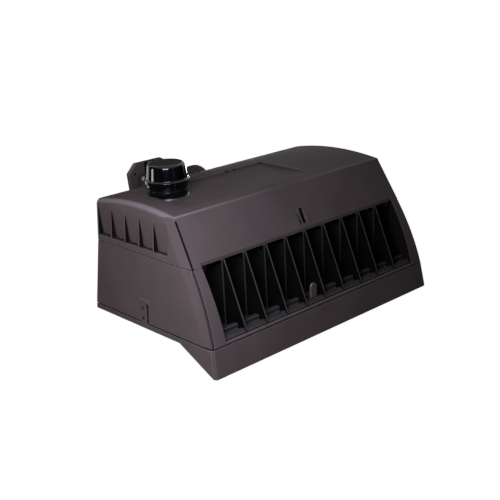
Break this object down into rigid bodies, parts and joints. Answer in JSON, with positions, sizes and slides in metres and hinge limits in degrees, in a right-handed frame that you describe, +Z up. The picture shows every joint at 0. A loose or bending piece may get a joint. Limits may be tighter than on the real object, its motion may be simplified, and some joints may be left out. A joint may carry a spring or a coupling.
{
  "type": "led flood light",
  "caption": "Wall-held dark bronze LED flood light: sloped cast housing with a vaned front opening, hinged glass door, twist-on photocell control and tilting knuckle mount.",
  "frame": {"origin": "middle of the wall plate's rear face, at the centre of its bolt pattern", "axes": "+Y into the wall, so the light faces -Y; +Z up; +X across the light"},
  "size_m": [0.5198, 0.486, 0.2907],
  "materials": {
    "bronze_coat": "satin",
    "black_coat": "matte",
    "zinc_steel": "satin",
    "tray_sheet": "satin",
    "seal_rubber": "matte",
    "board_white": "satin",
    "chip_phosphor": "satin",
    "optic_clear": "gloss",
    "driver_case": "satin",
    "terminal_plastic": "satin",
    "gland_plastic": "satin",
    "control_plastic": "gloss",
    "ring_steel": "satin",
    "blade_brass": "satin",
    "lens_glass": "gloss"
  },
  "bodies": {
    "mount": {"wall_plate": "bronze_coat", "mount_arm": "bronze_coat", "arm_screws": "zinc_steel", "pivot_bolt": "zinc_steel", "pivot_nut": "zinc_steel", "pivot_washers": "zinc_steel"},
    "housing": {"mount_bracket": "bronze_coat", "bracket_gasket": "seal_rubber", "bracket_bolts": "zinc_steel", "main_housing": "bronze_coat", "top_cover": "bronze_coat", "cover_gasket": "seal_rubber", "cover_screws": "zinc_steel", "front_vanes": "bronze_coat", "vane_rail": "bronze_coat", "sill_tab": "bronze_coat", "sill_screws": "zinc_steel", "heat_sink": "black_coat", "heat_sink_screws": "zinc_steel", "led_boards": "board_white", "led_chips": "chip_phosphor", "led_optics": "optic_clear", "board_screws": "zinc_steel", "tray_standoffs": "zinc_steel", "tray_screws": "zinc_steel", "led_driver_left": "driver_case", "led_driver_right": "driver_case", "driver_screws": "zinc_steel", "driver_tray": "tray_sheet", "surge_protector": "driver_case", "terminal_block": "terminal_plastic", "cable_gland": "gland_plastic", "gland_nut": "gland_plastic", "vent_plug": "gland_plastic", "receptacle_ring": "ring_steel", "hinge_pins": "zinc_steel"},
    "door": {"door_frame": "bronze_coat", "door_gasket": "seal_rubber", "lens_gasket": "seal_rubber", "glass_lens": "lens_glass", "tab_rivets": "zinc_steel"},
    "latch_left": {"latch_left": "zinc_steel"},
    "latch_right": {"latch_right": "zinc_steel"},
    "receptacle": {"photocell_receptacle": "control_plastic", "receptacle_nut": "terminal_plastic"},
    "cap": {"photocell_cap": "control_plastic", "cap_base": "terminal_plastic", "cap_blades": "blade_brass", "cap_gasket": "seal_rubber"}
  },
  "joints": [
    {"name": "tilt", "type": "hinge", "parent": "mount", "child": "housing", "pos_m": [0, -0.122, 0.02], "axis": [-1, 0, 0], "range_deg": [-15, 75]},
    {"name": "door_swing", "type": "hinge", "parent": "housing", "child": "door", "pos_m": [0, -0.169, -0.127], "axis": [1, 0, 0], "range_deg": [0, 85]},
    {"name": "latch_left_turn", "type": "hinge", "parent": "door", "child": "latch_left", "pos_m": [-0.2547, -0.3085, -0.0973], "axis": [-1, 0, 0], "range_deg": [0, 90]},
    {"name": "latch_right_turn", "type": "hinge", "parent": "door", "child": "latch_right", "pos_m": [0.2547, -0.3085, -0.0973], "axis": [1, 0, 0], "range_deg": [0, 90]},
    {"name": "receptacle_turn", "type": "hinge", "parent": "housing", "child": "receptacle", "pos_m": [-0.1675, -0.286, 0.07992], "axis": [0, 0, 1], "range_deg": [-175, 175]},
    {"name": "cap_twist", "type": "hinge", "parent": "receptacle", "child": "cap", "pos_m": [-0.1675, -0.286, 0.07992], "axis": [0, 0, 1], "range_deg": [0, 30]}
  ]
}
